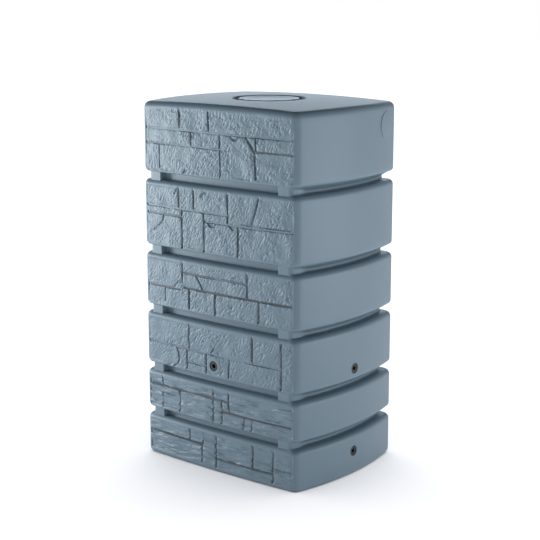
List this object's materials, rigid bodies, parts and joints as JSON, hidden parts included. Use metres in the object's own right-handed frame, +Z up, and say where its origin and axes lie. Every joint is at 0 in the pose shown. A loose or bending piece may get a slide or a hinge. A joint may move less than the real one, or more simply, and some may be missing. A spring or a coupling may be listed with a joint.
{
  "type": "rain barrel",
  "caption": "Tall plastic rain barrel of stacked bulging bands with a stone-effect front, a round twist-off lid and screw-plugged tap ports.",
  "frame": {"origin": "middle of the footprint, on the ground", "axes": "+Z up; the stone-effect front faces -Y; +X towards the right side as seen from the front"},
  "size_m": [0.715, 0.545, 1.21],
  "materials": {
    "tank_plastic": "satin moulded polyethylene, stone relief on the front",
    "lid_plastic": "satin moulded polyethylene",
    "port_plastic": "black moulded plastic",
    "rubber": "matt black rubber"
  },
  "bodies": {
    "tank": {"tank_shell": "tank_plastic", "insert_front_mid": "port_plastic", "insert_right_mid": "port_plastic", "insert_right_low": "port_plastic", "insert_left_mid": "port_plastic", "insert_left_low": "port_plastic"},
    "lid_seal": {"lid_seal": "rubber"},
    "lid": {"lid": "lid_plastic"},
    "gasket_front_mid": {"gasket_front_mid": "rubber"},
    "plug_front_mid": {"plug_front_mid": "port_plastic"},
    "gasket_right_mid": {"gasket_right_mid": "rubber"},
    "plug_right_mid": {"plug_right_mid": "port_plastic"},
    "gasket_right_low": {"gasket_right_low": "rubber"},
    "plug_right_low": {"plug_right_low": "port_plastic"},
    "gasket_left_mid": {"gasket_left_mid": "rubber"},
    "plug_left_mid": {"plug_left_mid": "port_plastic"},
    "gasket_left_low": {"gasket_left_low": "rubber"},
    "plug_left_low": {"plug_left_low": "port_plastic"}
  },
  "joints": [
    {"name": "lid_lift", "type": "slide", "parent": "tank", "child": "lid_seal", "axis": [0, 0, 1], "range_m": [0, 0.25]},
    {"name": "lid_turn", "type": "hinge", "parent": "lid_seal", "child": "lid", "pos_m": [0, 0, 1.206], "axis": [0, 0, 1], "range_deg": [0, 90]},
    {"name": "front_mid_out", "type": "slide", "parent": "tank", "child": "gasket_front_mid", "axis": [0, -1, 0], "range_m": [0, 0.0136]},
    {"name": "front_mid_turn", "type": "hinge", "parent": "gasket_front_mid", "child": "plug_front_mid", "pos_m": [-0.01, -0.2725, 0.36], "axis": [0, -1, 0], "range_deg": [0, 2698]},
    {"name": "right_mid_out", "type": "slide", "parent": "tank", "child": "gasket_right_mid", "axis": [1, 0, 0], "range_m": [0, 0.0136]},
    {"name": "right_mid_turn", "type": "hinge", "parent": "gasket_right_mid", "child": "plug_right_mid", "pos_m": [0.3575, 0, 0.36], "axis": [1, 0, 0], "range_deg": [0, 2698]},
    {"name": "right_low_out", "type": "slide", "parent": "tank", "child": "gasket_right_low", "axis": [1, 0, 0], "range_m": [0, 0.0136]},
    {"name": "right_low_turn", "type": "hinge", "parent": "gasket_right_low", "child": "plug_right_low", "pos_m": [0.3575, 0, 0.08], "axis": [1, 0, 0], "range_deg": [0, 2698]},
    {"name": "left_mid_out", "type": "slide", "parent": "tank", "child": "gasket_left_mid", "axis": [-1, 0, 0], "range_m": [0, 0.0136]},
    {"name": "left_mid_turn", "type": "hinge", "parent": "gasket_left_mid", "child": "plug_left_mid", "pos_m": [-0.3575, 0, 0.36], "axis": [-1, 0, 0], "range_deg": [0, 2698]},
    {"name": "left_low_out", "type": "slide", "parent": "tank", "child": "gasket_left_low", "axis": [-1, 0, 0], "range_m": [0, 0.0136]},
    {"name": "left_low_turn", "type": "hinge", "parent": "gasket_left_low", "child": "plug_left_low", "pos_m": [-0.3575, 0, 0.08], "axis": [-1, 0, 0], "range_deg": [0, 2698]}
  ],
  "couplings": [
    {"joint": "front_mid_out", "follows": "front_mid_turn", "m_per_rad": 0.00028871},
    {"joint": "right_mid_out", "follows": "right_mid_turn", "m_per_rad": 0.00028871},
    {"joint": "right_low_out", "follows": "right_low_turn", "m_per_rad": 0.00028871},
    {"joint": "left_mid_out", "follows": "left_mid_turn", "m_per_rad": 0.00028871},
    {"joint": "left_low_out", "follows": "left_low_turn", "m_per_rad": 0.00028871}
  ]
}
